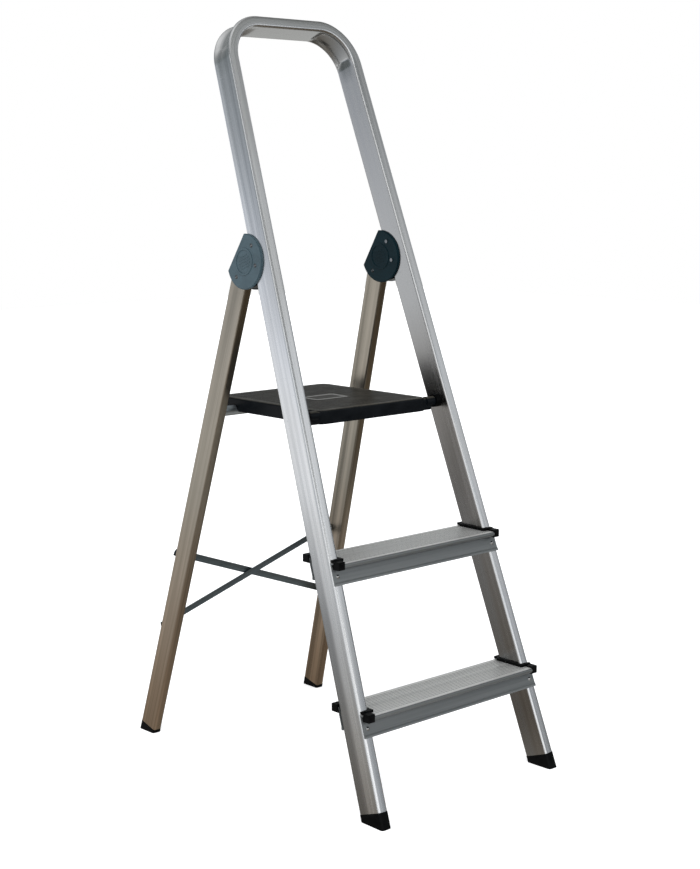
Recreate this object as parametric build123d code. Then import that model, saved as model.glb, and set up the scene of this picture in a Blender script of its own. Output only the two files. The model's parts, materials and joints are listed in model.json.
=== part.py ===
"""Folding aluminium stepladder: hoop-topped front frame, two treads, a moulded platform
that rests on the rear frame's crossbar, and riveted D-shaped hinge cheeks.

X runs across the ladder, -Y is the side it is climbed from and +Z is up.
"""
from build123d import *
from math import atan2, cos, radians, sin, sqrt, tan
import os

# ---------------------------------------------------------------------------
# Driving dimensions: millimetres and degrees, all for the open ladder
# ---------------------------------------------------------------------------
# Front frame: one tube bent into a hoop, leaning back from the climbing side
front_width = 423.0          # over both stiles, on the floor
front_lean = 19.8            # from vertical
front_taper = 2.64           # of each stile towards the middle, in the frame's own plane
hoop_height = 1296.0         # floor to the front top edge of the hoop
hoop_bend = 82.0             # outer radius of the two top bends
stile_depth = 48.8
stile_width = 20.2
stile_corner = 4.0
stile_wall = 1.4

# Rear frame: two straight legs hung from the hinge pins
rear_lean = 15.5             # from vertical
rear_taper = 2.83
leg_depth = 40.6
leg_width = 16.6
leg_corner = 3.0
leg_wall = 1.2
leg_above_pin = 16.0         # leg left above the hinge pin

# Feet: plugs cut flat on the floor
foot_proud = 0.3             # past the tube all round
foot_plug = 24.0             # depth inside the tube
foot_fit = 0.15              # gap round the plug
front_foot_show = 10.0       # least height showing below a stile
rear_foot_show = 6.0         # least height showing below a leg

# Treads
tread_tops = {"lower": 174.0, "middle": 405.6}
tread_depth = 84.5
tread_nose = 20.9            # ahead of the stiles' front faces
tread_plate = 2.4
tread_web = 1.8
tread_drop = 35.8            # tread top to the bottom edge of its webs
nose_radius = 4.2
web_lip = 1.0                # thickening along a web's bottom edge
web_lip_height = 3.0
web_lip_slope = 2.0          # height over which the thickening fades out
bead_notch = 10.5            # depth cut from the beads' ends for the caps
tread_fit = 0.3              # between the plate and the stiles' inner faces
groove_pitch = 5.6
groove_width = 1.6
groove_depth = 0.5
tread_rivet_drop = 23.0      # below the tread top

# Tread end caps
cap_strip = 5.0              # width of the strip round the stile
cap_rise = 4.5               # above the tread top
cap_front_rise = 3.0         # of the front block
cap_front_drop = 10.5        # below the tread top
cap_rear_drop = 8.5
cap_block_inset = 15.0       # blocks' inboard end, from the stile's outer face
cap_front_inset = 2.0        # front block's outboard end, from the stile's outer face
cap_rear_outset = 2.0        # rear block past the stile's outer face
cap_overlap = 1.2            # past the tread's front and rear edges
cap_round = 3.4

# Rivets
rivet_shank = 4.0
rivet_head = 7.0
rivet_head_rise = 2.0
rivet_fit = 0.1              # gap round a shank
rivet_tail = 3.0             # set end inside a tube
rivet_tail_radius = 3.0

# Hinge
pin_height = 939.5           # up the front frame's plane
pin_behind = 42.5            # behind the stiles' rear faces
pin_radius = 3.0
running_fit = 0.05           # gap round a pin that turns
cheek_radius = 47.0
cheek_ahead = 27.3           # cheek centre ahead of the pin, square to the stile
cheek_above = 18.3           # cheek centre above the pin, along the stile
cheek_flat = 28.0            # cheek centre to its flat edge
cheek_flat_angle = 52.3      # of the flat's outward direction, from rearward
cheek_thickness = 4.0
cheek_edge = 1.2
cheek_ring_radius = 23.0
cheek_ring_width = 3.0
cheek_ring_rise = 1.0
cheek_pad_radius = 8.0       # bearing pad round the pin, on the leg side
cheek_pad_rise = 0.9
cheek_rivet_inset = 11.7     # ahead of the stile's rear face
cheek_rivets = (3.0, 38.0)   # above the pin, along the stile
cheek_rivet_tail = 1.6       # set end on the inner cheek
cheek_rivet_tail_radius = 3.2
cheek_bars = 5               # raised bars inside the ring
cheek_bar_pitch = 5.0
cheek_bar_width = 1.8
cheek_bar_rise = 0.5
cheek_bar_radius = 15.0      # circle that the bars fill
spacer_bottom = -28.5        # from the pin, along the stile
spacer_top = 44.0
spacer_gap = 0.6             # between the spacer and the leg's top corner
spacer_round = 2.0
leg_plug_gap = 2.0           # between a leg's top plug and the hinge pin

# Platform
platform_top = 636.5
platform_width = 256.0
platform_depth = 276.0
platform_skirt = 23.5        # overall thickness
platform_corner = 17.0
platform_edge = 3.5          # rounding of the top edge
platform_plate = 4.0
platform_wall = 3.0
rib_thickness = 2.5
ribs_across = 3
platform_groove_pitch = 7.0  # anti-slip grooves on the top
platform_groove_width = 2.2
platform_groove_depth = 0.7
platform_groove_margin = 14.0
label_width = 78.0
label_depth = 50.0
label_thickness = 1.2
label_rim = 2.2
label_corner = 9.0
label_ahead = 8.0            # label centre ahead of the platform's centre
label_fit = 0.2
label_sunk = 0.5             # below the rim round it

# Platform pivots
pivot_drop = 8.5             # below the platform top
pivot_setback = 8.0          # behind the platform's front edge
pivot_radius = 5.0
pivot_inside = 24.0          # pin length inside the platform
pivot_boss_past = 2.0        # boss past the pin's inner end
pivot_past_wall = 9.0        # pin length past the stile's inner wall
ear_length = 11.5            # block on the platform's side, round the pivot
ear_behind = 12.0            # from the pivot to the ear's rear face
ear_corner = 5.0
ear_drop = 2.0               # ear's top below the platform's
neck_radius = 8.5            # from the ear out to the bush
neck_gap = 0.4               # neck end to bush
bush_radius = 11.5
bush_length = 12.0
bush_spigot_radius = 8.0
bush_spigot_past = 3.0

# Rear crossbar and the saddles that sit on it
bar_radius = 9.0
bar_wall = 1.2
bar_drop = 21.5              # bar's middle below the platform top
bar_fit = 0.1                # gap round the bar in the legs' inner walls
bar_short = 1.0              # bar's end short of the leg's middle
saddle_gap = 0.3             # between the bar and the saddles
saddle_width = 22.0
saddle_lip = 4.0             # behind the bar
saddle_front_angle = 45.0    # how far the saddle wraps towards the front
bar_way_angle = 28.0         # from vertical, of the way the bar leaves the saddles

# Cross braces on the rear faces of the legs
brace_width = 13.0
brace_thickness = 1.5
brace_crease = 1.2           # depth of the lengthwise crease
brace_high = 347.5           # height of the upper ends
brace_low = 210.5            # height of the lower ends
brace_gap = 0.1              # between the two braces where they cross
brace_end = 7.0              # strip left past each rivet

# ---------------------------------------------------------------------------
# Derived geometry
# ---------------------------------------------------------------------------
lean, taper = radians(front_lean), radians(front_taper)
back, splay = radians(rear_lean), radians(rear_taper)
across = Vector(1, 0, 0)
front_up = Vector(0, sin(lean), cos(lean))
front_behind = Vector(0, cos(lean), -sin(lean))
rear_up = Vector(0, -sin(back), cos(back))
rear_behind = Vector(0, cos(back), sin(back))
reach = 2 * hoop_height      # longer than anything, for cutting
past = 1.0                   # how far a cutter passes the face that it cuts

open_angle = front_lean + rear_lean
hoop_top = hoop_height / cos(lean)


def stile_outer(up):
    """Distance from the middle to a stile's outer face, at a place up the front frame."""
    return front_width / 2 - up * tan(taper)


def stile_inner(up):
    return stile_outer(up) - stile_width / cos(taper)


def stile_middle(up):
    return stile_outer(up) - stile_width / 2 / cos(taper)


def front_point(x, up, behind):
    """Point given across, up the front frame's plane and behind its front face."""
    return across * x + front_up * up + front_behind * behind


pin_point = front_point(0, pin_height, stile_depth + pin_behind)
pin_across = stile_middle(pin_height)


def rear_point(x, down, behind):
    """Point given across, down the rear frame from the hinge pins and behind its middle."""
    return pin_point + across * x - rear_up * down + rear_behind * behind


def leg_middle(down):
    return pin_across + down * tan(splay)


def down_to(height, behind=0.0):
    """Distance down the rear frame at which it reaches a height above the floor."""
    return (pin_point.Z + behind * sin(back) - height) / cos(back)


front_plane = Plane(origin=(0, 0, 0), x_dir=across, z_dir=-front_behind)
side_out = across * cos(taper) + front_up * sin(taper)
side_plane = Plane(origin=pin_point + across * pin_across, x_dir=front_behind, z_dir=side_out)

front_foot_cut = stile_depth * tan(lean) + front_foot_show / cos(lean)
rear_foot_cut = down_to(0, -leg_depth / 2) - rear_foot_show / cos(back)

pivot_height = platform_top - pivot_drop
pivot_up = (pivot_height + stile_depth / 2 * sin(lean)) / cos(lean)
pivot_point = front_point(0, pivot_up, stile_depth / 2)
platform_front = pivot_point.Y - pivot_setback
platform_middle = platform_front + platform_depth / 2
platform_base = platform_top - platform_skirt
bar_height = platform_top - bar_drop
bar_middle = rear_point(0, down_to(bar_height), 0).Y


# ---------------------------------------------------------------------------
# Helpers
# ---------------------------------------------------------------------------
def mirrored(solid):
    return mirror(solid, about=Plane.YZ)


def rod_x(start, end, radius, y, z):
    """Round bar along X."""
    plane = Plane(origin=(start, y, z), x_dir=(0, 1, 0), z_dir=(1, 0, 0))
    return extrude(plane * Circle(radius), amount=end - start)


def rod(point, direction, length, radius):
    """Round bar from a point along a direction."""
    return extrude(Plane(origin=point, z_dir=direction) * Circle(radius), amount=length)


def block(low, high):
    """Box between two corners."""
    size = [b - a for a, b in zip(low, high)]
    middle = [(a + b) / 2 for a, b in zip(low, high)]
    return Pos(*middle) * Box(*size)


def dome():
    """Rivet head that stands on the plane Z = 0."""
    ball = (rivet_head**2 / 4 + rivet_head_rise**2) / (2 * rivet_head_rise)
    head = Pos(0, 0, rivet_head_rise - ball) * Sphere(ball)
    return head & Pos(0, 0, rivet_head_rise / 2) * Cylinder(rivet_head / 2, rivet_head_rise)


def dome_rivet(point, outward, grip, tail_radius=rivet_tail_radius, tail=rivet_tail):
    """Rivet through a wall: domed head on the outside, shank, and its set end inside."""
    seat = Plane(origin=point, z_dir=outward)
    shank = Pos(0, 0, -grip / 2) * Cylinder(rivet_shank / 2, grip)
    end = Pos(0, 0, -grip - tail / 2) * Cylinder(tail_radius, tail)
    return seat * (dome() + shank + end)


def rivet_hole(point, outward, grip):
    """Clearance for a rivet's shank, from just outside its seat to just past its grip."""
    return rod(point + outward * past, -outward, grip + 2 * past, rivet_shank / 2 + rivet_fit)


def tube_section(depth, width, corner, wall):
    return RectangleRounded(depth, width, corner) - RectangleRounded(
        depth - 2 * wall, width - 2 * wall, max(corner - wall, 0.5))


# ---------------------------------------------------------------------------
# Front frame
# ---------------------------------------------------------------------------
def hoop_solid(depth, width, corner):
    """The bent tube's outside, or its bore, swept along the middle of the tube."""
    low, high = front_foot_cut, hoop_top - stile_width / 2
    points = [(stile_middle(low), low), (stile_middle(high), high)]
    points += [(-x, up) for x, up in reversed(points)]
    middle = front_plane.offset(-stile_depth / 2)
    path = middle * FilletPolyline(*points, radius=hoop_bend - stile_width / 2)
    section = Plane(origin=path @ 0, x_dir=front_behind, z_dir=path % 0)
    return sweep(section * RectangleRounded(depth, width, corner), path=path)


def stile_rivets(height_top):
    """Seats of a tread's rivets on the right stile, each with its outward direction."""
    up = (height_top - tread_rivet_drop) / cos(lean)
    front = front_point(stile_middle(up), up, -tread_web)
    up_rear = up + stile_depth * tan(lean)
    rear = front_point(stile_middle(up_rear), up_rear, stile_depth + tread_web)
    return [(front, -front_behind), (rear, front_behind)]


def cheek_rivet_point(above):
    """Seat of a cheek rivet on the outer face of the right outer cheek."""
    behind = -pin_behind - cheek_rivet_inset
    return side_plane.from_local_coords(Vector(behind, above, stile_width / 2 + cheek_thickness))


def make_front_hoop():
    bore = hoop_solid(stile_depth - 2 * stile_wall, stile_width - 2 * stile_wall,
                      stile_corner - stile_wall)
    hoop = hoop_solid(stile_depth, stile_width, stile_corner) - bore
    cuts = []
    for top in tread_tops.values():
        for point, outward in stile_rivets(top):
            cuts.append(rivet_hole(point, outward, tread_web + stile_wall))
    through = stile_width + 2 * cheek_thickness
    for above in cheek_rivets:
        cuts.append(rivet_hole(cheek_rivet_point(above), side_out, through))
    spigot = rod_x(0, stile_middle(pivot_up), bush_spigot_radius + rivet_fit,
                   pivot_point.Y, pivot_point.Z)
    cuts.append(spigot)
    for cut in cuts:
        hoop -= cut
        hoop -= mirrored(cut)
    return hoop


def make_foot(plane, depth, width, corner, wall):
    """Plug with a shoulder that carries on the tube's outline down to the floor.
    The plane is at the tube's cut end, facing up the tube."""
    shoulder = plane * RectangleRounded(depth + 2 * foot_proud, width + 2 * foot_proud,
                                        corner + foot_proud)
    foot = extrude(shoulder, amount=-3 * stile_depth)
    inset = 2 * (wall + foot_fit)
    plug = plane * RectangleRounded(depth - inset, width - inset, max(corner - wall, 0.5))
    foot += extrude(plug, amount=foot_plug)
    return foot - block((-reach, -reach, -reach), (reach, reach, 0))


def make_front_foot():
    along = front_up * cos(taper) - across * sin(taper)
    start = front_point(stile_middle(front_foot_cut), front_foot_cut, stile_depth / 2)
    plane = Plane(origin=start, x_dir=front_behind, z_dir=along)
    return make_foot(plane, stile_depth, stile_width, stile_corner, stile_wall)


# ---------------------------------------------------------------------------
# Treads
# ---------------------------------------------------------------------------
def tread_profile(top):
    """Section across a tread: plate with a bead along each edge, and two webs that
    lie on the stiles' front and rear faces."""
    face = top * tan(lean)
    nose, heel = face - tread_nose, face - tread_nose + tread_depth
    small = nose_radius * 0.6
    plate = make_face(Polyline((nose + nose_radius, top), (heel - small, top),
                               (heel - small, top - tread_plate),
                               (nose + nose_radius, top - tread_plate), close=True))
    profile = plate + Pos(nose + nose_radius, top - nose_radius) * Circle(nose_radius)
    profile += Pos(heel - small, top - small) * Circle(small)
    bottom = top - tread_drop
    thick = tread_web / cos(lean)
    lip = web_lip / cos(lean)
    for start, side in ((0.0, -1), (stile_depth / cos(lean), 1)):
        web = [((bottom if z == bottom else z) * tan(lean) + start + y, z) for y, z in (
            (0, top - tread_plate / 2), (0, bottom), (side * (thick + lip), bottom),
            (side * (thick + lip), bottom + web_lip_height),
            (side * thick, bottom + web_lip_height + web_lip_slope),
            (side * thick, top - tread_plate / 2))]
        profile += make_face(Polyline(*web, close=True))
    count = int((tread_depth - 4 * nose_radius) / groove_pitch)
    for i in range(count):
        y = nose + 2.4 * nose_radius + i * groove_pitch
        profile -= Pos(y + groove_width / 2, top) * Rectangle(groove_width, 2 * groove_depth)
    return profile


def stile_room(gap):
    """The space a right stile fills, with a gap round it, open to the outside."""
    low, high = 0.0, hoop_top
    outline = Polyline((stile_inner(low) - gap, low), (reach, low), (reach, high),
                       (stile_inner(high) - gap, high), close=True)
    return extrude(front_plane * make_face(outline), amount=-stile_depth)


def make_tread(top):
    section = Plane(origin=(-reach / 2, 0, 0), x_dir=(0, 1, 0), z_dir=(1, 0, 0))
    tread = extrude(section * tread_profile(top), amount=reach)
    outline = Polyline((-stile_outer(0), 0), (stile_outer(0), 0),
                       (stile_outer(hoop_top), hoop_top), (-stile_outer(hoop_top), hoop_top),
                       close=True)
    tread &= extrude(front_plane * make_face(outline), amount=reach / 4, both=True)
    cuts = [stile_room(tread_fit)]
    inboard = stile_outer(top / cos(lean)) - cap_block_inset + cap_round
    face = top * tan(lean)
    web_front = (top - cap_front_drop) * tan(lean) - tread_web / cos(lean) - web_lip
    cuts.append(block((inboard, face - reach, top - bead_notch), (reach, web_front, top + past)))
    web_rear = face + (stile_depth + tread_web) / cos(lean)
    cuts.append(block((inboard, web_rear, top - bead_notch), (reach, face + reach, top + past)))
    for point, outward in stile_rivets(top):
        cuts.append(rivet_hole(point, outward, tread_web))
    for cut in cuts:
        tread -= cut
        tread -= mirrored(cut)
    return tread


def make_tread_cap(top, tread):
    """Moulded end cap: a strip round three sides of the stile on top of the tread, and
    a block over the end of each bead."""
    up = top / cos(lean)
    outer, inner = stile_outer(up), stile_inner(up)
    face = top * tan(lean)
    rear = face + stile_depth / cos(lean)
    nose, heel = face - tread_nose - cap_overlap, face - tread_nose + tread_depth + cap_overlap
    rise = top + cap_rise
    front_end, rear_end = outer - cap_front_inset, outer + cap_rear_outset
    beside = (inner + outer) / 2
    cap = block((inner - cap_strip, face - cap_strip, top), (beside, rear + cap_strip / 2, rise))
    cap += block((inner - cap_strip, face - cap_strip, top), (front_end, face, rise))
    cap += block((inner, rear, top), (rear_end, heel, rise))
    front_block = block((outer - cap_block_inset, nose, top - cap_front_drop),
                        (front_end, face, top + cap_front_rise))
    front_block = fillet(front_block.faces().sort_by(Axis.Y)[0].edges(), cap_round)
    rear_block = block((outer - cap_block_inset, rear - cap_strip, top - cap_rear_drop),
                       (rear_end, heel, rise))
    cap += front_block + rear_block
    return cap - tread - stile_room(0.0)


def make_tread_rivets(top):
    seats = stile_rivets(top)
    right = [dome_rivet(point, outward, tread_web + stile_wall)
             for point, outward in seats]
    return right + [mirrored(rivet) for rivet in right]


# ---------------------------------------------------------------------------
# Hinges
# ---------------------------------------------------------------------------
def cheek_outline(inset=0.0):
    disc = Pos(-cheek_ahead, cheek_above) * Circle(cheek_radius - inset)
    turn = Pos(-cheek_ahead, cheek_above) * Rot(0, 0, cheek_flat_angle)
    keep = cheek_flat - inset
    side = 2 * cheek_radius
    return disc & (turn * Pos(keep - side, 0) * Rectangle(2 * side, 2 * side))


def cheek_bar_sketch():
    """Level bars clipped to a circle in the middle of a cheek."""
    bars = [Pos(0, (i - (cheek_bars - 1) / 2) * cheek_bar_pitch)
            * Rectangle(2 * cheek_bar_radius, cheek_bar_width) for i in range(cheek_bars)]
    return Pos(-cheek_ahead, cheek_above) * ((Sketch() + bars) & Circle(cheek_bar_radius))


def pin_hole():
    return rod_x(0, 2 * pin_across, pin_radius + running_fit, pin_point.Y, pin_point.Z)


def make_cheek(outward):
    """Cheek on the right stile's outer (+1) or inner (-1) face."""
    base = side_plane.offset(outward * stile_width / 2)
    rim = extrude(base * cheek_outline(), amount=outward * (cheek_thickness - cheek_edge))
    top = extrude(base * cheek_outline(cheek_edge), amount=outward * cheek_thickness)
    cheek = rim + top
    ring = Circle(cheek_ring_radius) - Circle(cheek_ring_radius - cheek_ring_width)
    ring = base.offset(outward * cheek_thickness) * Pos(-cheek_ahead, cheek_above) * ring
    cheek += extrude(ring, amount=outward * cheek_ring_rise)
    cheek += extrude(base * cheek_bar_sketch(), amount=outward * (cheek_thickness + cheek_bar_rise))
    pad = extrude(base * Circle(cheek_pad_radius), amount=-outward * cheek_pad_rise)
    cheek += pad
    through = stile_width + 2 * cheek_thickness
    for above in cheek_rivets:
        cheek -= rivet_hole(cheek_rivet_point(above), side_out, through)
    return cheek - pin_hole()


def spacer_depth():
    """Room between the stile and the nearest that the leg's top corner comes to it."""
    corner = sqrt(leg_above_pin**2 + (leg_depth / 2)**2)
    nearest = min(radians(open_angle), atan2(leg_above_pin, leg_depth / 2))
    turn = atan2(leg_above_pin, leg_depth / 2) - nearest
    return pin_behind - corner * cos(turn) - spacer_gap


def make_hinge_spacer():
    depth, height = spacer_depth(), spacer_top - spacer_bottom
    sketch = Pos(-pin_behind + depth / 2, spacer_bottom + height / 2) * Rectangle(depth, height)
    spacer = extrude(side_plane.offset(-stile_width / 2) * sketch, amount=stile_width)
    edges = spacer.edges().filter_by(lambda e: abs(e.length - stile_width) < 0.01)
    rear = edges.sort_by(lambda e: (e @ 0.5).Y)[-2:]
    return fillet(rear, min(spacer_round, depth / 3))


def make_hinge_rivets():
    grip = stile_width + 2 * cheek_thickness
    return [dome_rivet(cheek_rivet_point(above), side_out, grip, cheek_rivet_tail_radius,
                       cheek_rivet_tail) for above in cheek_rivets]


def make_hinge_pin(cheeks):
    """Pin through both cheeks and the leg, with a domed head against each cheek."""
    half = (stile_width / 2 + cheek_thickness) / cos(taper)
    pin = rod_x(pin_across - half, pin_across + half, pin_radius, pin_point.Y, pin_point.Z)
    for side in (-1, 1):
        seat = side_plane.offset(side * (stile_width / 2 + cheek_thickness)).origin
        pin += Plane(origin=seat, z_dir=side_out * side) * dome()
    return pin - cheeks[0] - cheeks[1]


# ---------------------------------------------------------------------------
# Rear frame
# ---------------------------------------------------------------------------
def leg_plane(down):
    """Plane across the right leg at a distance down from the pin, facing up the leg."""
    along = rear_up * cos(splay) - across * sin(splay)
    return Plane(origin=rear_point(leg_middle(down), down, 0), x_dir=rear_behind, z_dir=along)


def brace_ends():
    """Rivet places of one brace: high on the left leg, low on the right leg."""
    high, low = down_to(brace_high, leg_depth / 2), down_to(brace_low, leg_depth / 2)
    return (-leg_middle(high), high), (leg_middle(low), low)


def make_rear_leg():
    bottom, top = leg_plane(rear_foot_cut), leg_plane(-leg_above_pin)
    length = (top.origin - bottom.origin).length
    leg = extrude(bottom * tube_section(leg_depth, leg_width, leg_corner, leg_wall), amount=length)
    leg -= pin_hole()
    leg -= rod_x(0, leg_middle(down_to(bar_height)), bar_radius + bar_fit, bar_middle, bar_height)
    for x, down in brace_ends():
        leg -= rivet_hole(rear_point(abs(x), down, leg_depth / 2), rear_behind, leg_wall)
    return leg


def make_rear_foot():
    return make_foot(leg_plane(rear_foot_cut), leg_depth, leg_width, leg_corner, leg_wall)


def make_leg_plug():
    """Plug in a leg's top end, flush with the tube."""
    inset = 2 * (leg_wall + foot_fit)
    sketch = RectangleRounded(leg_depth - inset, leg_width - inset, leg_corner - leg_wall)
    depth = leg_above_pin - pin_radius - leg_plug_gap
    return extrude(leg_plane(-leg_above_pin) * sketch, amount=-depth)


def make_crossbar():
    half = leg_middle(down_to(bar_height)) - bar_short
    outside = rod_x(-half, half, bar_radius, bar_middle, bar_height)
    bore = rod_x(-half - past, half + past, bar_radius - bar_wall, bar_middle, bar_height)
    return outside - bore


def brace_stack():
    """How far the second brace stands behind the first."""
    return brace_thickness + brace_crease + brace_gap


def make_brace(behind):
    """Creased strip from high on the left leg to low on the right leg."""
    (x1, down1), (x2, down2) = brace_ends()
    start = rear_point(x1, down1, leg_depth / 2 + behind)
    end = rear_point(x2, down2, leg_depth / 2 + behind)
    along = (end - start).normalized()
    origin = start - along * brace_end
    plane = Plane(origin=origin, x_dir=rear_behind, z_dir=along)
    half, thick = brace_width / 2, brace_thickness
    outline = Polyline((0, -half), (thick, -half), (thick + brace_crease, 0), (thick, half),
                       (0, half), (brace_crease, 0), close=True)
    strip = extrude(plane * make_face(outline), amount=(end - start).length + 2 * brace_end)
    for point in (start, end):
        strip -= rivet_hole(point + rear_behind * (thick + brace_crease), rear_behind,
                            thick + brace_crease)
    return strip


def make_brace_rivets():
    """Four rivets; the second brace's pair is longer by the spacers under its ends."""
    rivets = []
    for x, down in brace_ends():
        for side, behind in ((1, brace_stack()), (-1, 0.0)):
            grip = behind + brace_thickness + brace_crease
            seat = rear_point(side * x, down, leg_depth / 2 + grip)
            rivets.append(dome_rivet(seat, rear_behind, grip + leg_wall))
    return rivets


def make_brace_spacers():
    """Sleeves that hold the second brace off the legs."""
    sleeves = []
    for x, down in brace_ends():
        seat = rear_point(x, down, leg_depth / 2)
        bore = rivet_shank / 2 + rivet_fit
        ring = Circle(rivet_head / 2) - Circle(bore)
        plane = Plane(origin=seat, z_dir=rear_behind)
        sleeves.append(extrude(plane * ring, amount=brace_stack()))
    return sleeves


# ---------------------------------------------------------------------------
# Platform
# ---------------------------------------------------------------------------
def bush_face():
    """Where the bush's inboard end lies, across."""
    return stile_inner(pivot_up) - bush_length


def bar_channel():
    """The crossbar's way out of the platform: it leaves downwards and forwards."""
    room = bar_radius + saddle_gap
    length = 2 * platform_skirt
    slot = Circle(room) + Pos(0, -length / 2) * Rectangle(2 * room, length)
    end = Plane(origin=(-platform_width, bar_middle, bar_height), x_dir=(0, 1, 0),
                z_dir=(1, 0, 0))
    return extrude(end * Rot(0, 0, -bar_way_angle) * slot, amount=2 * platform_width)


def platform_body():
    """The platform's outside, before it is hollowed."""
    plan = Pos(0, platform_middle) * RectangleRounded(platform_width, platform_depth,
                                                      platform_corner)
    body = extrude(Plane.XY.offset(platform_base) * plan, amount=platform_skirt)
    return fillet(body.faces().sort_by(Axis.Z)[-1].edges(), platform_edge)


def pivot_boss():
    """Right-hand boss round the pivot pin, inside the platform."""
    start = platform_width / 2 - pivot_inside - pivot_boss_past
    return rod_x(start, platform_width / 2, neck_radius, pivot_point.Y, pivot_point.Z)


def pivot_bore():
    return rod_x(platform_width / 2 - pivot_inside, reach, pivot_radius + running_fit,
                 pivot_point.Y, pivot_point.Z)


def make_platform():
    body = platform_body()
    inside = RectangleRounded(platform_width - 2 * platform_wall,
                              platform_depth - 2 * platform_wall,
                              platform_corner - platform_wall)
    hollow = extrude(Plane.XY.offset(platform_base) * Pos(0, platform_middle) * inside,
                     amount=platform_skirt - platform_plate)
    shell = body - hollow
    shell += platform_ribs() & hollow
    for boss, bore in ((pivot_boss(), pivot_bore()), (mirrored(pivot_boss()), mirrored(pivot_bore()))):
        shell += boss & body
        shell -= bore
    return shell - bar_channel() - platform_grooves() - label_pocket()


def make_platform_ear():
    """Right-hand pivot ear: a block as deep as the skirt, with a neck out to the bush."""
    side = platform_width / 2
    ear = block((side - platform_corner, platform_front + ear_drop, platform_base),
                (side + ear_length, pivot_point.Y + ear_behind, platform_top - ear_drop))
    ear = fillet(ear.edges().filter_by(Axis.X), ear_corner)
    ear += rod_x(side, bush_face() - neck_gap, neck_radius, pivot_point.Y, pivot_point.Z)
    return ear - platform_body() - pivot_bore()


def platform_ribs():
    low, high = platform_base, platform_top
    ribs = []
    for i in range(ribs_across):
        y = platform_front + (i + 1) * platform_depth / (ribs_across + 1)
        ribs.append(block((-reach, y - rib_thickness / 2, low), (reach, y + rib_thickness / 2, high)))
    return Part() + ribs


def platform_grooves():
    """Anti-slip grooves along X, stopped short of the edges and of the label's rim."""
    run = platform_depth - 2 * platform_groove_margin
    count = int(run / platform_groove_pitch) + 1
    half = platform_width / 2 - platform_groove_margin
    grooves = []
    for i in range(count):
        y = platform_middle + (i - (count - 1) / 2) * platform_groove_pitch
        grooves.append(block((-half, y - platform_groove_width / 2, platform_top - platform_groove_depth),
                             (half, y + platform_groove_width / 2, platform_top + past)))
    return (Part() + grooves) - extrude(label_plan(label_rim), amount=reach)


def label_plan(margin):
    width, depth = label_width + 2 * margin, label_depth + 2 * margin
    return Pos(0, platform_middle - label_ahead) * RectangleRounded(width, depth,
                                                                    label_corner + margin)


def label_pocket():
    return extrude(Plane.XY.offset(platform_top - label_thickness) * label_plan(0), amount=reach)


def make_platform_label():
    """Blank plate in the middle of the platform, just below its rim."""
    plan = label_plan(-label_fit)
    return extrude(Plane.XY.offset(platform_top - label_thickness) * plan,
                   amount=label_thickness - label_sunk)


def make_saddle(platform):
    """Right-hand block under the platform that sits on the crossbar and hooks behind it."""
    outer = platform_width / 2 - platform_wall
    room = bar_radius + saddle_gap
    ahead = room * sin(radians(saddle_front_angle))
    rear = min(bar_middle + room + saddle_lip, platform_front + platform_depth - platform_wall)
    saddle = block((outer - saddle_width, bar_middle - ahead, bar_height),
                   (outer, rear, platform_top - platform_plate))
    return saddle - bar_channel() - platform


def make_pivot_pin():
    """Right-hand pin that the platform turns on."""
    start = platform_width / 2 - pivot_inside
    end = stile_inner(pivot_up) + stile_wall + pivot_past_wall
    return rod_x(start, end, pivot_radius, pivot_point.Y, pivot_point.Z)


def make_platform_bush():
    """Flanged bush in the right stile's inner wall."""
    y, z = pivot_point.Y, pivot_point.Z
    flange = rod_x(bush_face(), stile_middle(pivot_up), bush_radius, y, z)
    flange -= stile_room(0.0)
    spigot_end = stile_inner(pivot_up) + stile_wall + bush_spigot_past
    bush = flange + rod_x(bush_face(), spigot_end, bush_spigot_radius, y, z)
    return bush - rod_x(0, reach, pivot_radius + running_fit, y, z)


# ---------------------------------------------------------------------------
# Assembly
# ---------------------------------------------------------------------------
def add_pair(nodes, name, right):
    nodes[name + "_right"] = right
    nodes[name + "_left"] = mirrored(right)


def build():
    nodes = {"front_hoop": make_front_hoop()}
    add_pair(nodes, "front_foot", make_front_foot())
    for name, top in tread_tops.items():
        tread = make_tread(top)
        nodes[name + "_tread"] = tread
        add_pair(nodes, name + "_tread_cap", make_tread_cap(top, tread))
        nodes[name + "_tread_rivets"] = make_tread_rivets(top)
    outer, inner = make_cheek(1), make_cheek(-1)
    add_pair(nodes, "hinge_cheek_outer", outer)
    add_pair(nodes, "hinge_cheek_inner", inner)
    add_pair(nodes, "hinge_spacer", make_hinge_spacer())
    add_pair(nodes, "hinge_pin", make_hinge_pin((outer, inner)))
    rivets = make_hinge_rivets()
    nodes["hinge_rivets_right"] = rivets
    nodes["hinge_rivets_left"] = [mirrored(rivet) for rivet in rivets]
    add_pair(nodes, "platform_bush", make_platform_bush())

    add_pair(nodes, "rear_leg", make_rear_leg())
    add_pair(nodes, "rear_foot", make_rear_foot())
    add_pair(nodes, "rear_leg_plug", make_leg_plug())
    nodes["rear_crossbar"] = make_crossbar()
    nodes["brace_falling_right"] = make_brace(brace_stack())
    nodes["brace_falling_left"] = mirrored(make_brace(0.0))
    nodes["brace_rivets"] = make_brace_rivets()
    nodes["brace_spacers"] = make_brace_spacers()

    platform = make_platform()
    nodes["platform"] = platform
    add_pair(nodes, "platform_ear", make_platform_ear())
    nodes["platform_label"] = make_platform_label()
    add_pair(nodes, "platform_saddle", make_saddle(platform))
    add_pair(nodes, "platform_pin", make_pivot_pin())
    return nodes


def as_compound(shape):
    solids = shape if isinstance(shape, list) else [shape]
    return Compound(children=[s for part in solids for s in part.solids()])


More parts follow.
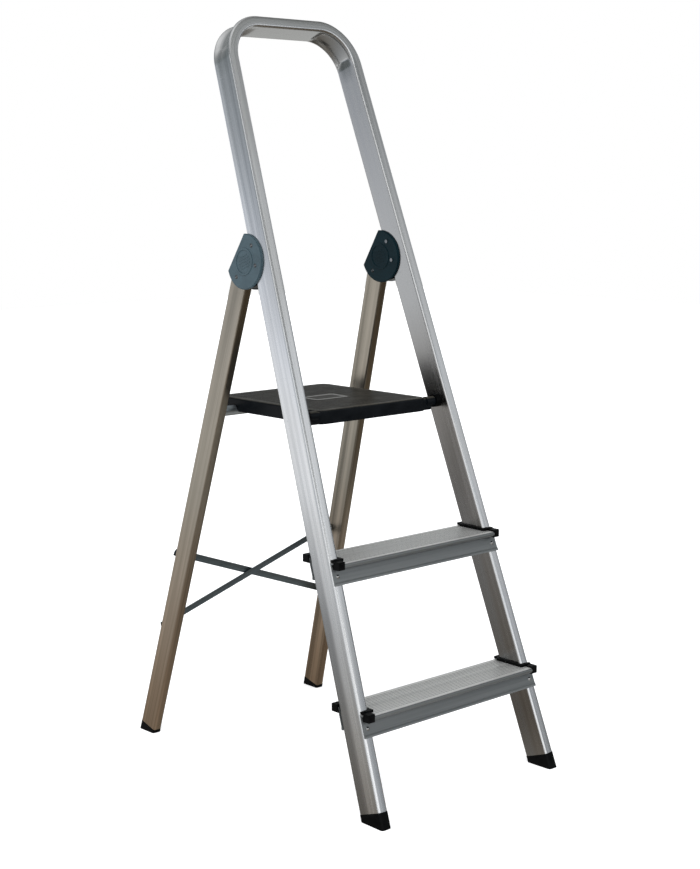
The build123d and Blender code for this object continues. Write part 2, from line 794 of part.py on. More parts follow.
def main():
    nodes = {name: as_compound(shape) for name, shape in build().items()}
    boxes = [shape.bounding_box() for shape in nodes.values()]
    middle = (min(b.min.Y for b in boxes) + max(b.max.Y for b in boxes)) / 2
    os.makedirs("parts", exist_ok=True)
    for name, shape in nodes.items():
        export_step(Pos(0, -middle, 0) * shape, "parts/" + name + ".step")
    print("shift", round(middle, 3))
    print("hinge pin", pin_point.Y - middle, pin_point.Z, "opens", open_angle)
    print("platform pivot", pivot_point.Y - middle, pivot_point.Z, "closes", 90 - front_lean)


main()
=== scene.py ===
"""Looks of the folding platform ladder: hoop mesh, materials, studio and camera."""
import json
from math import cos, pi, radians, sin, tan

import bmesh
import bpy
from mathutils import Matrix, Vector


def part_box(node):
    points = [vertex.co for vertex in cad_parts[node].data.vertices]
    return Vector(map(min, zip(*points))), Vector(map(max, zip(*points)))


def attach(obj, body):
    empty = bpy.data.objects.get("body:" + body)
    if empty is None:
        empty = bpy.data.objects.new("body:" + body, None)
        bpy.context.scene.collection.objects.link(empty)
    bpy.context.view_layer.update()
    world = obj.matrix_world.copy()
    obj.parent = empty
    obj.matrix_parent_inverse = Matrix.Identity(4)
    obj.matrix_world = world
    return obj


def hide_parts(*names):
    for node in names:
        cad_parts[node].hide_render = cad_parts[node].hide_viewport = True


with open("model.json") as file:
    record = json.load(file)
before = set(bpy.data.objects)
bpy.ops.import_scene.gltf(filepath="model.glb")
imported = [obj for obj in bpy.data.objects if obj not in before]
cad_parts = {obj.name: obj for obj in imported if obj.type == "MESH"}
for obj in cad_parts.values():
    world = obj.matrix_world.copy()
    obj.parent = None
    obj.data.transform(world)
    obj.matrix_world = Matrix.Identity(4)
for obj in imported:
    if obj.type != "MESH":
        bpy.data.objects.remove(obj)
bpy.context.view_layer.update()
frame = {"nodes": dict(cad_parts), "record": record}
nodes = frame["nodes"]

# ---------------------------------------------------------------------------
# Sizes of the CAD model that the hoop mesh and the metals follow: metres, radians
# ---------------------------------------------------------------------------
FRONT_LEAN, FRONT_TAPER = radians(19.8), radians(2.64)
REAR_LEAN, REAR_TAPER = radians(15.5), radians(2.83)
FRONT_WIDTH = 0.423
HOOP_HEIGHT = 1.296
HOOP_BEND = 0.082            # outer radius
STILE_DEPTH, STILE_WIDTH, STILE_CORNER = 0.0488, 0.0202, 0.004
FOOT_SHOW = 0.010
FRONT_LINE = -0.330886       # Y of the line where the stiles' front faces meet the floor
FRONT_UP = Vector((0, sin(FRONT_LEAN), cos(FRONT_LEAN)))
FRONT_BEHIND = Vector((0, cos(FRONT_LEAN), -sin(FRONT_LEAN)))


def front_point(x, up, behind):
    """A point given in the front frame's own leaning plane."""
    return Vector((x, FRONT_LINE, 0)) + FRONT_UP * up + FRONT_BEHIND * behind


# ---------------------------------------------------------------------------
# Mesh helpers
# ---------------------------------------------------------------------------
def make_mesh(name, verts, faces, coords=None, smooth=True):
    """A mesh object; coords are kept on its points as the attribute "tube"."""
    mesh = bpy.data.meshes.new(name)
    mesh.from_pydata([tuple(v) for v in verts], [], faces)
    mesh.validate()
    mesh.update()
    if coords:
        attribute = mesh.attributes.new("tube", "FLOAT_VECTOR", "POINT")
        attribute.data.foreach_set("vector", [c for place in coords for c in place])
    for polygon in mesh.polygons:
        polygon.use_smooth = smooth and len(polygon.vertices) <= 4
    piece = bpy.data.objects.new(name, mesh)
    bpy.context.collection.objects.link(piece)
    return piece


def face_outward(piece):
    """Turns every face of a closed mesh outward."""
    bm = bmesh.new()
    bm.from_mesh(piece.data)
    bmesh.ops.recalc_face_normals(bm, faces=bm.faces)
    bm.to_mesh(piece.data)
    bm.free()


# ---------------------------------------------------------------------------
# Node helpers
# ---------------------------------------------------------------------------
class Net:
    """Short way to write a node tree."""

    def __init__(self, tree):
        self.tree = tree
        tree.nodes.clear()

    def add(self, kind, out=0, props=None, **inputs):
        """Adds a node and gives one output; inputs go by name, or by number as i0 and i1."""
        node = self.tree.nodes.new(kind)
        for key, value in (props or {}).items():
            setattr(node, key, value)
        for key, value in inputs.items():
            name = int(key[1:]) if key[0] == "i" and key[1:].isdigit() else key.replace("_", " ")
            self.put(node.inputs[name], value)
        return node.outputs[out]

    def put(self, socket, value):
        """Links a socket to an input, or writes a constant onto it."""
        if isinstance(value, bpy.types.NodeSocket):
            self.tree.links.new(value, socket)
        elif isinstance(value, (tuple, list)) and len(value) == 3 and len(socket.default_value) == 4:
            socket.default_value = (*value, 1)
        else:
            socket.default_value = value

    def end(self, shader, kind="ShaderNodeOutputMaterial"):
        self.put(self.tree.nodes.new(kind).inputs[0], shader)

    def math(self, operation, a, b=0.0):
        return self.add("ShaderNodeMath", props={"operation": operation}, i0=a, i1=b)

    def blend(self, a, b, share_of_b):
        """Weighted sum of two values."""
        return self.math("ADD", self.math("MULTIPLY", a, 1 - share_of_b),
                         self.math("MULTIPLY", b, share_of_b))

    def scaled(self, vector, by):
        return self.add("ShaderNodeVectorMath", props={"operation": "MULTIPLY"}, i0=vector, i1=by)

    def dot(self, vector, direction):
        return self.add("ShaderNodeVectorMath", out="Value", props={"operation": "DOT_PRODUCT"},
                        i0=vector, i1=direction)

    def split(self, vector):
        """The three parts of a vector."""
        return self.add("ShaderNodeSeparateXYZ", Vector=vector).node.outputs

    def faces_up(self):
        """How far the surface faces upwards, from -1 to 1."""
        return self.split(self.add("ShaderNodeNewGeometry", out="Normal"))[2]

    def noise(self, vector, scale, detail, rough=0.55):
        return self.add("ShaderNodeTexNoise", Vector=vector, Scale=scale, Detail=detail,
                        Roughness=rough)

    def span(self, value, low, high, to_low=0.0, to_high=1.0):
        """Maps low..high onto to_low..to_high, and no further."""
        return self.add("ShaderNodeMapRange", Value=value, From_Min=low, From_Max=high,
                        To_Min=to_low, To_Max=to_high)

    def ramp(self, fac, stops):
        node = self.tree.nodes.new("ShaderNodeValToRGB")
        elements = node.color_ramp.elements
        while len(elements) < len(stops):
            elements.new(0.5)
        for element, (place, colour) in zip(elements, stops):
            element.position = place
            element.color = (*colour, 1)
        self.put(node.inputs[0], fac)
        return node.outputs[0]

    def mix(self, fac, a, b, blend="MIX"):
        node = self.tree.nodes.new("ShaderNodeMix")
        node.data_type, node.blend_type = "RGBA", blend
        fac_input, a_input, b_input = (node.inputs[i] for i in (0, 6, 7))
        self.put(fac_input, fac)
        self.put(a_input, a)
        self.put(b_input, b)
        return node.outputs[2]

    def bump(self, height, distance, strength):
        return self.add("ShaderNodeBump", Height=height, Distance=distance, Strength=strength)

    def object_place(self):
        return self.add("ShaderNodeTexCoord", out="Object")

    def tube_place(self):
        """Place on the hoop's unrolled tube: outward, behind, and along its length."""
        return self.add("ShaderNodeAttribute", out="Vector", props={"attribute_name": "tube"})

    def leg_place(self):
        """Place on a rear leg: across, behind, and up the leg."""
        x, y, z = self.split(self.object_place())
        lean = -REAR_LEAN
        up = self.math("ADD", self.math("MULTIPLY", y, sin(lean)),
                       self.math("MULTIPLY", z, cos(lean)))
        behind = self.math("SUBTRACT", self.math("MULTIPLY", y, cos(lean)),
                           self.math("MULTIPLY", z, sin(lean)))
        across = self.math("ADD", self.math("ABSOLUTE", x),
                           self.math("MULTIPLY", up, tan(REAR_TAPER)))
        return self.add("ShaderNodeCombineXYZ", X=across, Y=behind, Z=up)


# ---------------------------------------------------------------------------
# Materials
# ---------------------------------------------------------------------------
LINE_DEPTH = 0.00006         # of the drawing lines in the metal
TREAD_LINE_DEPTH = 0.00005
BAND_PITCH = 0.16            # pattern frequency of the metal's bands over that of its lines
FOOT_TONE_TOP = 0.40         # where the rear legs' warmer tone begins, up the leg
FOOT_TONE_SHARE = 0.8
BLOTCHES, SCUFFS = (14.0, 14.0, 5.0), (60.0, 60.0, 140.0)
GRAIN, GRAIN_DEPTH = 900.0, 0.00006      # of moulded plastic
FLOW_MARKS, TOP_SCUFFS = (30.0, 30.0, 55.0), (24.0, 160.0, 40.0)
FLOW_LIFT = 0.0015           # how much paler the flow marks are, on top of their share


def new_material(name):
    material = bpy.data.materials.new(name)
    material.use_nodes = True
    return material, Net(material.node_tree)


def surface(net, colour, roughness, normal, **constants):
    """Principled shader; constants go straight onto its sockets."""
    node = net.tree.nodes.new("ShaderNodeBsdfPrincipled")
    net.put(node.inputs["Base Color"], colour)
    net.put(node.inputs["Roughness"], roughness)
    net.put(node.inputs["Normal"], normal)
    for key, value in constants.items():
        node.inputs[key.replace("_", " ")].default_value = value
    net.end(node.outputs[0])


def drawn_metal(name, place_on, dark, light, rough, streak, foot_tone=None):
    """Mill-finish metal with drawing lines, soft blotches and fine scuffs.

    streak is the lines' frequency along each axis of the place, so lines run along the
    axis with the lowest one.
    """
    material, net = new_material(name)
    place = place_on(net)
    fine = net.noise(net.scaled(place, streak), 1.0, 3.0, 0.6)
    broad = net.noise(net.scaled(place, tuple(s * BAND_PITCH for s in streak)), 1.0, 2.0)
    blotch = net.noise(net.scaled(place, BLOTCHES), 1.0, 3.0)
    level = net.blend(fine, broad, 0.65)
    colour = net.mix(net.span(level, 0.36, 0.64), dark, light)
    colour = net.mix(net.span(blotch, 0.35, 0.7, 0.0, 0.28), colour, dark)
    if foot_tone:
        up = net.split(place)[2]
        share = net.span(up, FOOT_TONE_TOP, 0.0, 0.0, FOOT_TONE_SHARE)
        colour = net.mix(share, colour, foot_tone, "MULTIPLY")
    scuff = net.noise(net.scaled(place, SCUFFS), 1.0, 5.0, 0.75)
    roughness = net.math("ADD", net.span(level, 0.35, 0.65, rough - 0.05, rough + 0.06),
                         net.span(scuff, 0.6, 0.75, 0.0, 0.10))
    surface(net, colour, roughness, net.bump(level, LINE_DEPTH, 0.3), Metallic=1.0)
    return material


def moulded(name, colour, rough, marks, gloss, top=None):
    """Moulded plastic: fine grain, faint flow marks, and two scuffed tones on its top faces."""
    material, net = new_material(name)
    place = net.object_place()
    grainy = net.noise(place, GRAIN, 2.0)
    flow = net.noise(net.scaled(place, FLOW_MARKS), 1.0, 4.0, 0.6)
    light = tuple(min(1.0, c * (1 + marks) + FLOW_LIFT) for c in colour)
    tone = net.mix(net.span(flow, 0.35, 0.7), colour, light)
    if top:
        wear = net.noise(net.scaled(place, TOP_SCUFFS), 1.0, 5.0, 0.7)
        worn = net.mix(net.span(wear, 0.35, 0.68), *top)
        tone = net.mix(net.span(net.faces_up(), 0.6, 0.9), tone, worn)
    roughness = net.math("ADD", net.span(flow, 0.3, 0.7, rough - 0.05, rough + 0.07),
                         net.span(grainy, 0.3, 0.7, -0.03, 0.03))
    surface(net, tone, roughness, net.bump(grainy, GRAIN_DEPTH, 0.6), Specular_IOR_Level=gloss)
    return material


def tread_metal():
    """Extruded tread with lines along X; faces that point up get a pale colour and the webs a dark
    one, painted light and shade.
    """
    material, net = new_material("tread_metal")
    place = net.object_place()
    fine = net.noise(net.scaled(place, (2.0, 300.0, 300.0)), 1.0, 3.0, 0.6)
    broad = net.noise(net.scaled(place, (1.0, 70.0, 70.0)), 1.0, 2.0)
    level = net.blend(fine, broad, 0.6)
    shade = net.span(level, 0.38, 0.62)
    # painted light and shade: the webs get a dark colour, the faces that point up a pale one
    shaded_web_tone = net.mix(shade, (0.145, 0.157, 0.16), (0.20, 0.213, 0.216))
    top = net.mix(shade, (0.76, 0.76, 0.74), (0.90, 0.90, 0.88))
    colour = net.mix(net.span(net.faces_up(), 0.82, 0.95), shaded_web_tone, top)
    surface(net, colour, net.span(level, 0.35, 0.65, 0.34, 0.44),
            net.bump(level, TREAD_LINE_DEPTH, 0.2), Metallic=0.7)
    return material


# ---------------------------------------------------------------------------
# The hoop: one tube bent at the top, its walls drawn in at the bends
# ---------------------------------------------------------------------------
SINK_OUTER, SINK_INNER = 0.0080, 0.0062    # how far the walls are drawn in at a bend
OUTER_ONSET, INNER_ONSET = (1.4, 1.8), (2.0, 1.6)   # how it grows there: gain and power
SINK_EDGE_POWER = 2.8                      # the higher, the flatter the sunk wall
CROWN_FRONT, CROWN_SIDE = 0.0004, 0.0002   # how far the faces' edges fall away from flat
LINE_STEPS, ARC_STEPS, TOP_STEPS = 48, 40, 10       # along a stile, a bend and half the top
CORNER_STEPS, FACE_STEPS, NARROW_STEPS = 5, 14, 8   # round the section
SUPPORT = 0.0005                           # a face's first point, from the rounded corner

INNER_FACE = (-0.0088, -0.0100)            # outward place, from the corner to the inner face
REAR_HALF = (-0.005, 0.006)                # place behind the tube's middle
INNER_LOW = (0.62, 0.80)                   # distances along the tube from the hoop's middle: the inner face and the rear half get painted shade there
REAR_LOW = (0.92, 1.14)                    # the inner face and the rear half darken there


def stile_middle(up):
    return FRONT_WIDTH / 2 - up * tan(FRONT_TAPER) - STILE_WIDTH / 2 / cos(FRONT_TAPER)


def turned(vector, angle):
    return Vector((vector.x * cos(angle) - vector.y * sin(angle),
                   vector.x * sin(angle) + vector.y * cos(angle)))


def hoop_path():
    """Stations along the tube: (place across and up, tangent, distance, amount of bend)."""
    low = STILE_DEPTH * tan(FRONT_LEAN) + FOOT_SHOW / cos(FRONT_LEAN)
    high = HOOP_HEIGHT / cos(FRONT_LEAN) - STILE_WIDTH / 2
    radius = HOOP_BEND - STILE_WIDTH / 2
    turn = pi / 2 - FRONT_TAPER
    cut = radius * tan(turn / 2)
    rise = Vector((-sin(FRONT_TAPER), cos(FRONT_TAPER)))
    inward = Vector((-rise.y, rise.x))
    start = Vector((stile_middle(low), low))
    corner = Vector((stile_middle(high), high))
    bend_start = corner - rise * cut
    centre = bend_start + inward * radius
    flat = corner.x - cut
    bend_at = (bend_start - start).length
    flat_at = bend_at + radius * turn

    half = []
    for i in range(LINE_STEPS):
        f = i / LINE_STEPS
        half.append((start.lerp(bend_start, f), rise, bend_at * f, 0.0))
    for i in range(ARC_STEPS + 1):
        f = i / ARC_STEPS
        angle = turn * f
        tangent = turned(rise, angle)
        outward = Vector((tangent.y, -tangent.x))
        half.append((centre + outward * radius, tangent, bend_at + radius * angle, sin(pi * f)))
    for i in range(1, TOP_STEPS + 1):
        f = i / TOP_STEPS
        half.append((Vector((flat * (1 - f), high)), Vector((-1, 0)), flat_at + flat * f, 0.0))

    whole = list(half)
    total = half[-1][2] * 2
    for place, tangent, at, bend in reversed(half[:-1]):
        whole.append((Vector((-place.x, place.y)), Vector((tangent.x, -tangent.y)),
                      total - at, bend))
    return whole


def tube_outline():
    """Points of the tube's section: (outward, behind), with the four corners rounded."""
    a, b, r = STILE_WIDTH / 2, STILE_DEPTH / 2, STILE_CORNER
    points = []

    def edge(p, q, steps):
        support = SUPPORT / (q - p).length
        for f in [support] + [i / steps for i in range(1, steps)] + [1 - support]:
            points.append(p.lerp(q, f))

    def corner(x, y, start):
        for i in range(CORNER_STEPS + 1):
            angle = start + pi / 2 * i / CORNER_STEPS
            points.append(Vector((x + r * cos(angle), y + r * sin(angle))))

    edge(Vector((a, -b + r)), Vector((a, b - r)), FACE_STEPS)
    corner(a - r, b - r, 0)
    edge(Vector((a - r, b)), Vector((-a + r, b)), NARROW_STEPS)
    corner(-a + r, b - r, pi / 2)
    edge(Vector((-a, b - r)), Vector((-a, -b + r)), FACE_STEPS)
    corner(-a + r, -b + r, pi)
    edge(Vector((-a + r, -b)), Vector((a - r, -b)), NARROW_STEPS)
    corner(a - r, -b + r, 3 * pi / 2)
    return points


def make_hoop(stations):
    outline = tube_outline()
    flat_reach = STILE_DEPTH / 2 - STILE_CORNER
    verts, coords, faces = [], [], []
    for place, tangent, at, bend in stations:
        outward = Vector((tangent.y, -tangent.x))
        outer_sink, inner_sink = (min(1.0, gain * bend) ** power
                                  for gain, power in (OUTER_ONSET, INNER_ONSET))
        for w, d in outline:
            sink = SINK_OUTER * outer_sink if w > 0 else SINK_INNER * inner_sink
            sink *= max(0.0, 1 - abs(d / flat_reach) ** SINK_EDGE_POWER)
            side, face = w / (STILE_WIDTH / 2), d / (STILE_DEPTH / 2)
            p = place + outward * (w - sink * side - CROWN_SIDE * side * face ** 2)
            behind = STILE_DEPTH / 2 + d - CROWN_FRONT * face * side ** 2
            verts.append(front_point(p.x, p.y, behind))
            coords.append((w, d, at))
    n = len(outline)
    for i in range(len(stations) - 1):
        for j in range(n):
            k = (j + 1) % n
            faces.append((i * n + j, i * n + k, (i + 1) * n + k, (i + 1) * n + j))
    last = (len(stations) - 1) * n
    faces.append(tuple(reversed(range(n))))
    faces.append(tuple(last + j for j in range(n)))
    tube = make_mesh("hoop_tube", verts, faces, coords)
    face_outward(tube)
    for edge in tube.data.edges:
        a, b = edge.vertices
        edge.use_edge_sharp = max(a, b) < n or min(a, b) >= last
    return tube


def hoop_metal(tube_length):
    """The hoop's tube: lengthwise lines and bands from the die, blotches and light scuffs, with
    painted shade on its inner face and rear half.
    """
    material, net = new_material("hoop_metal")
    place = net.tube_place()
    fine = net.noise(net.scaled(place, (260.0, 260.0, 2.0)), 1.0, 3.0, 0.6)
    broad = net.noise(net.scaled(place, (70.0, 70.0, 0.9)), 1.0, 2.0)
    blotch = net.noise(net.scaled(place, (16.0, 16.0, 6.0)), 1.0, 3.0)
    level = net.blend(fine, broad, 0.7)
    colour = net.mix(net.span(level, 0.36, 0.64), (0.45, 0.468, 0.486), (0.84, 0.85, 0.862))
    colour = net.mix(net.span(blotch, 0.4, 0.7, 0.0, 0.3), colour, (0.52, 0.515, 0.50))
    outward, behind, along = net.split(place)
    # the two feet are the tube's ends, so distances are from the middle of its length
    from_middle = net.math("ABSOLUTE", net.math("SUBTRACT", along, tube_length / 2))
    # painted shade: the inner face darker, and browner further from the hoop's middle
    painted_inner_shade = net.mix(net.span(from_middle, *INNER_LOW), (0.33, 0.335, 0.335), (0.20, 0.185, 0.17))
    colour = net.mix(net.math("MULTIPLY", net.span(outward, *INNER_FACE), 0.85), colour, painted_inner_shade)
    # painted shade: the rear half of the tube darker, low down the stiles
    painted_rear_shade = net.math("MULTIPLY", net.span(behind, *REAR_HALF),
                         net.span(from_middle, *REAR_LOW, 0.0, 0.78))
    colour = net.mix(painted_rear_shade, colour, (0.26, 0.265, 0.27))
    scuff = net.noise(net.scaled(place, (50.0, 50.0, 110.0)), 1.0, 4.0, 0.7)
    roughness = net.math("ADD", net.span(level, 0.35, 0.65, 0.22, 0.30),
                         net.span(scuff, 0.62, 0.78, 0.0, 0.08))
    surface(net, colour, roughness, net.bump(level, LINE_DEPTH, 0.25), Metallic=1.0)
    return material


hoop_stations = hoop_path()
hoop_length = hoop_stations[-1][2]
hoop = make_hoop(hoop_stations)

# ---------------------------------------------------------------------------
# Finishes, one for each of the record's material slots
# ---------------------------------------------------------------------------
EVEN_LINES = (300.0, 300.0, 300.0)
ACROSS_LINES = (20.0, 500.0, 500.0)
place_on_object = Net.object_place
looks = {
    "front_tube": hoop_metal(hoop_length),
    "rear_tube": drawn_metal("leg_metal", Net.leg_place, (0.185, 0.170, 0.140),
                             (0.455, 0.410, 0.342), 0.30, (240.0, 240.0, 2.5),
                             foot_tone=(1.40, 1.12, 0.94)),
    "tread_metal": tread_metal(),
    "rivet_metal": drawn_metal("rivet_metal", place_on_object, (0.36, 0.37, 0.38),
                               (0.58, 0.59, 0.60), 0.16, EVEN_LINES),
    "pin_steel": drawn_metal("dark_pin_steel", place_on_object, (0.05, 0.05, 0.052),
                             (0.09, 0.09, 0.092), 0.35, ACROSS_LINES),
    "brace_steel": drawn_metal("brace_steel", place_on_object, (0.13, 0.17, 0.198),
                               (0.23, 0.285, 0.32), 0.45, (12.0, 300.0, 60.0)),
    "bar_metal": drawn_metal("bar_metal", place_on_object, (0.42, 0.48, 0.52),
                             (0.55, 0.61, 0.65), 0.40, (8.0, 300.0, 300.0)),
    "hinge_plastic": moulded("hinge_inner", (0.0025, 0.012, 0.0165), 0.46, marks=0.35,
                             gloss=0.10),
    "black_plastic": moulded("black_plastic", (0.0012, 0.0014, 0.0016), 0.33, marks=0.5,
                             gloss=0.05),
    "platform_plastic": moulded("platform_plastic", (0.0018, 0.0028, 0.004), 0.38, marks=0.4,
                                gloss=0.10, top=((0.026, 0.024, 0.020), (0.062, 0.057, 0.047))),
    "label": moulded("label_plate", (0.03, 0.028, 0.024), 0.45, marks=0.3, gloss=0.15),
}
for entry in frame["record"]["subparts"]:
    node = nodes[entry["node"]]
    node.data.materials.clear()
    node.data.materials.append(looks[entry["material_slot"]])

# painted light and shade: the outer cheeks get a paler, lit copy of the inner cheeks' plastic; the
# hinge's rivets and pins get a darker metal than the tread rivets
lit_outer_plastic = moulded("hinge_outer_lit", (0.040, 0.066, 0.080), 0.42, marks=0.3, gloss=0.3)
hinge_steel = drawn_metal("cheek_rivet_steel", place_on_object, (0.09, 0.10, 0.11),
                          (0.20, 0.21, 0.22), 0.17, EVEN_LINES)
for side in ("left", "right"):
    nodes["hinge_cheek_outer_" + side].data.materials[0] = lit_outer_plastic
    nodes["hinge_rivets_" + side].data.materials[0] = hinge_steel
    nodes["hinge_pin_" + side].data.materials[0] = hinge_steel

hoop.data.materials.append(looks["front_tube"])
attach(hoop, "front_frame")
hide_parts("front_hoop")

# ---------------------------------------------------------------------------
# Platform badge: two thin raised lines round the blank plate, pale as a painted highlight
# ---------------------------------------------------------------------------
BADGE_LINES = ((0.0012, 0.0018), (0.0058, 0.0011))   # each line's inset and width
BADGE_CORNER = 0.0088                                # corner radius with no inset
BADGE_SUNK, BADGE_RISE = 0.0002, 0.00035             # below and above the plate's face
RING_EASE = 0.3                                      # share of a ring's size eased off its edge
RING_STEPS = 8                                       # in each round corner
SHARPEST = 0.0005                                    # least corner radius


def rounded_loop(half_x, half_y, radius):
    """Outline of a rectangle with round corners."""
    points = []
    for quarter, (sx, sy) in enumerate(((1, 1), (-1, 1), (-1, -1), (1, -1))):
        for i in range(RING_STEPS + 1):
            angle = pi / 2 * (quarter + i / RING_STEPS)
            points.append((sx * (half_x - radius) + radius * cos(angle),
                           sy * (half_y - radius) + radius * sin(angle)))
    return points


def flat_ring(name, centre, half_x, half_y, radius, width, low, high):
    """Closed flat ring with its top edges eased."""
    ease = min(width, high - low) * RING_EASE
    section = [(0.0, low), (0.0, high - ease), (ease, high), (width - ease, high),
               (width, high - ease), (width, low)]
    verts, faces = [], []
    for inset, z in section:
        loop = rounded_loop(half_x - inset, half_y - inset, max(radius - inset, SHARPEST))
        verts += [(centre[0] + x, centre[1] + y, z) for x, y in loop]
    n = len(loop)
    for a in range(len(section)):
        b = (a + 1) % len(section)
        for j in range(n):
            k = (j + 1) % n
            faces.append((a * n + j, a * n + k, b * n + k, b * n + j))
    piece = make_mesh(name, verts, faces, smooth=False)
    face_outward(piece)
    return piece


label_low, label_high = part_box("platform_label")
label_centre = [(label_low[i] + label_high[i]) / 2 for i in (0, 1)]
label_half = [(label_high[i] - label_low[i]) / 2 for i in (0, 1)]
# painted highlight: the raised lines get a pale colour
highlight_line_plastic = moulded("badge_line", (0.27, 0.27, 0.26), 0.4, marks=0.2, gloss=0.3)
for number, (inset, width) in enumerate(BADGE_LINES, 1):
    ring = flat_ring("badge_line_%d" % number, label_centre, label_half[0] - inset,
                     label_half[1] - inset, BADGE_CORNER - inset, width,
                     label_high[2] - BADGE_SUNK, label_high[2] + BADGE_RISE)
    ring.data.materials.append(highlight_line_plastic)
    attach(ring, "platform")

# ---------------------------------------------------------------------------
# Studio: white to the camera, plain to matt surfaces, and a room's tones in the metal
# ---------------------------------------------------------------------------
FLOOR_HALF, FLOOR_DROP = 9.0, 0.0002
FLOOR_NEAR, FLOOR_FAR = -7.0, 2.0        # where the floor's tones begin and end
FRONT_RIGHT, FRONT_LEFT = (0.67, -0.74, 0.0), (-0.67, -0.74, 0.0)
BACK_RIGHT = (0.74, 0.67, 0.0)
ROOM_FILL = (0.85, 0.86, 0.88)           # what matt surfaces see
SUN_STRENGTH, SUN_WIDTH = 1.6, radians(50)
SUN_TOWARDS = (0.50, 0.55, -0.85)


def floor_paper():
    material, net = new_material("floor_paper")
    spot = net.object_place()
    mottle = net.noise(spot, 3.0, 2.0)
    white = net.add("ShaderNodeBsdfDiffuse",
                    Color=net.mix(mottle, (0.93, 0.93, 0.93), (0.95, 0.95, 0.95)))
    lift = net.add("ShaderNodeEmission", Color=(1, 1, 1), Strength=0.35)
    seen = net.add("ShaderNodeAddShader", i0=white, i1=lift)
    out_front = net.span(net.dot(spot, FRONT_RIGHT), FLOOR_NEAR, FLOOR_FAR)
    tone = net.ramp(out_front, [
        (0.0, (1.35, 1.35, 1.36)), (0.42, (0.95, 0.95, 0.95)), (0.62, (0.54, 0.55, 0.56)),
        (0.73, (0.38, 0.36, 0.33)), (0.79, (0.24, 0.21, 0.175)), (0.835, (0.52, 0.49, 0.45)),
        (0.862, (0.08, 0.065, 0.05)), (0.885, (0.19, 0.15, 0.10)), (1.0, (0.10, 0.075, 0.05))])
    beside = net.dot(spot, BACK_RIGHT)
    tone = net.mix(net.span(beside, 1.1, 1.5), tone, (0.85, 0.85, 0.83))
    tone = net.mix(net.span(beside, 3.0, 4.2), tone, (0.16, 0.135, 0.11))
    mirrored = net.add("ShaderNodeEmission", Color=tone, Strength=1.0)
    in_metal = net.add("ShaderNodeLightPath", out="Is Glossy Ray")
    net.end(net.add("ShaderNodeMixShader", i0=in_metal, i1=seen, i2=mirrored))
    return material


def make_floor():
    corners = [(FLOOR_HALF * x, FLOOR_HALF * y, -FLOOR_DROP)
               for x, y in ((-1, -1), (1, -1), (1, 1), (-1, 1))]
    floor = make_mesh("studio_floor", corners, [(0, 1, 2, 3)], smooth=False)
    floor.data.materials.append(floor_paper())


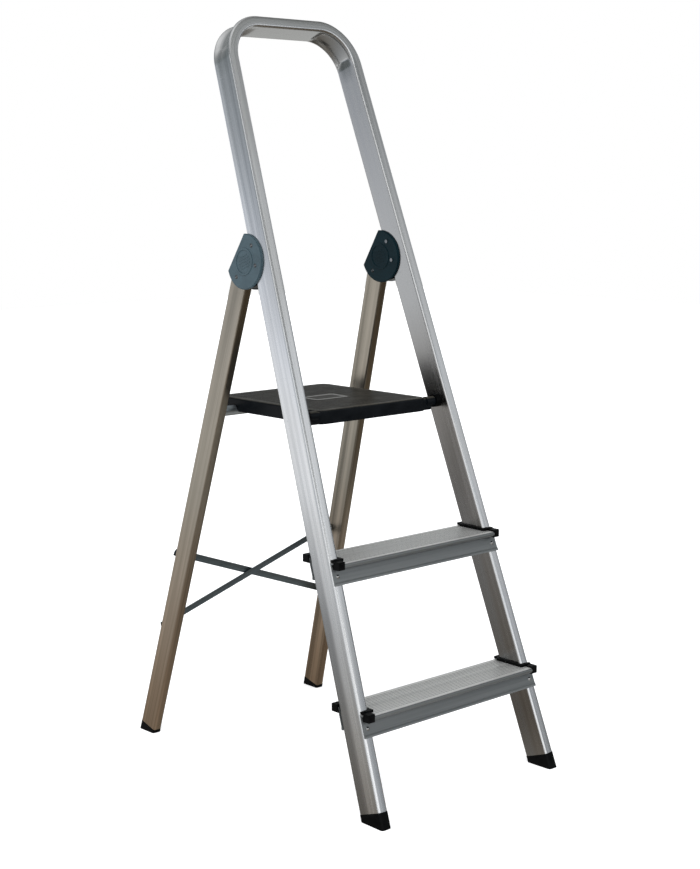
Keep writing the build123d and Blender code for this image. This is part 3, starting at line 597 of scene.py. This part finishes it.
def make_room():
    """Each ramp goes from straight down to straight up, with the horizon at 0.5."""
    world = bpy.data.worlds.new("studio")
    bpy.context.scene.world = world
    world.use_nodes = True
    net = Net(world.node_tree)
    look = net.add("ShaderNodeTexCoord", out="Generated")
    height = net.span(net.split(look)[2], -1.0, 1.0)
    ahead = net.ramp(height, [
        (0.0, (0.12, 0.09, 0.06)), (0.47, (0.25, 0.22, 0.18)), (0.50, (0.30, 0.31, 0.325)),
        (0.62, (0.34, 0.36, 0.38)), (0.655, (1.05, 1.07, 1.09)), (0.685, (1.10, 1.11, 1.12)),
        (0.715, (0.72, 0.73, 0.74)), (0.745, (0.40, 0.41, 0.41)), (0.785, (0.21, 0.22, 0.21)),
        (0.90, (0.20, 0.20, 0.19)), (1.0, (0.8, 0.8, 0.8))])
    beyond = net.ramp(height, [
        (0.0, (0.20, 0.18, 0.15)), (0.42, (0.42, 0.40, 0.37)), (0.47, (1.05, 1.08, 1.18)),
        (0.50, (0.80, 0.84, 0.92)), (0.54, (0.34, 0.37, 0.39)), (0.60, (0.20, 0.225, 0.23)),
        (0.75, (0.30, 0.31, 0.31)), (1.0, (0.8, 0.8, 0.8))])
    behind = net.ramp(height, [
        (0.0, (0.12, 0.10, 0.08)), (0.46, (0.30, 0.28, 0.26)), (0.52, (1.0, 1.0, 1.0)),
        (0.60, (1.6, 1.6, 1.6)), (0.665, (1.7, 1.7, 1.7)), (0.70, (0.50, 0.51, 0.51)),
        (0.74, (0.20, 0.21, 0.21)), (1.0, (0.8, 0.8, 0.8))])
    ahead = net.mix(1.0, ahead, net.span(net.dot(look, BACK_RIGHT), -0.06, 0.20, 1.35, 0.62),
                    "MULTIPLY")
    around = net.mix(net.span(net.dot(look, FRONT_RIGHT), -0.5, 0.5), beyond, ahead)
    around = net.mix(net.span(net.dot(look, FRONT_LEFT), 0.12, 0.55), around, behind)
    around = net.mix(net.add("ShaderNodeLightPath", out="Is Diffuse Ray"), around, ROOM_FILL)
    around = net.mix(net.add("ShaderNodeLightPath", out="Is Camera Ray"), around, (1.0, 1.0, 1.0))
    net.end(net.add("ShaderNodeBackground", Color=around, Strength=1.0), "ShaderNodeOutputWorld")


def make_sun():
    light = bpy.data.lights.new("soft_sun", "SUN")
    light.energy, light.angle = SUN_STRENGTH, SUN_WIDTH
    sun = bpy.data.objects.new("soft_sun", light)
    bpy.context.collection.objects.link(sun)
    sun.rotation_mode = "QUATERNION"
    sun.rotation_quaternion = Vector(SUN_TOWARDS).to_track_quat("-Z", "Y")
    sun.visible_glossy = False


make_floor()
make_room()
make_sun()

# ---------------------------------------------------------------------------
# Camera
# ---------------------------------------------------------------------------
CAMERA_LENS, CAMERA_SENSOR = 67.3, 36.0                   # millimetres
CAMERA_PLACE = (-1.89226, -2.09422, 1.02057)
CAMERA_HEADING, CAMERA_PITCH = radians(42.42), radians(-9.0)   # from +Y towards +X, and up

camera_data = bpy.data.cameras.new("camera")
camera_data.lens, camera_data.sensor_width = CAMERA_LENS, CAMERA_SENSOR
camera_data.dof.use_dof = False
camera = bpy.data.objects.new("camera", camera_data)
bpy.context.collection.objects.link(camera)
camera.location = CAMERA_PLACE
forward = Vector((sin(CAMERA_HEADING) * cos(CAMERA_PITCH),
                  cos(CAMERA_HEADING) * cos(CAMERA_PITCH), sin(CAMERA_PITCH)))
camera.rotation_mode = "QUATERNION"
camera.rotation_quaternion = forward.to_track_quat("-Z", "Y")
bpy.context.scene.camera = camera
bpy.context.scene.view_settings.view_transform = "Standard"
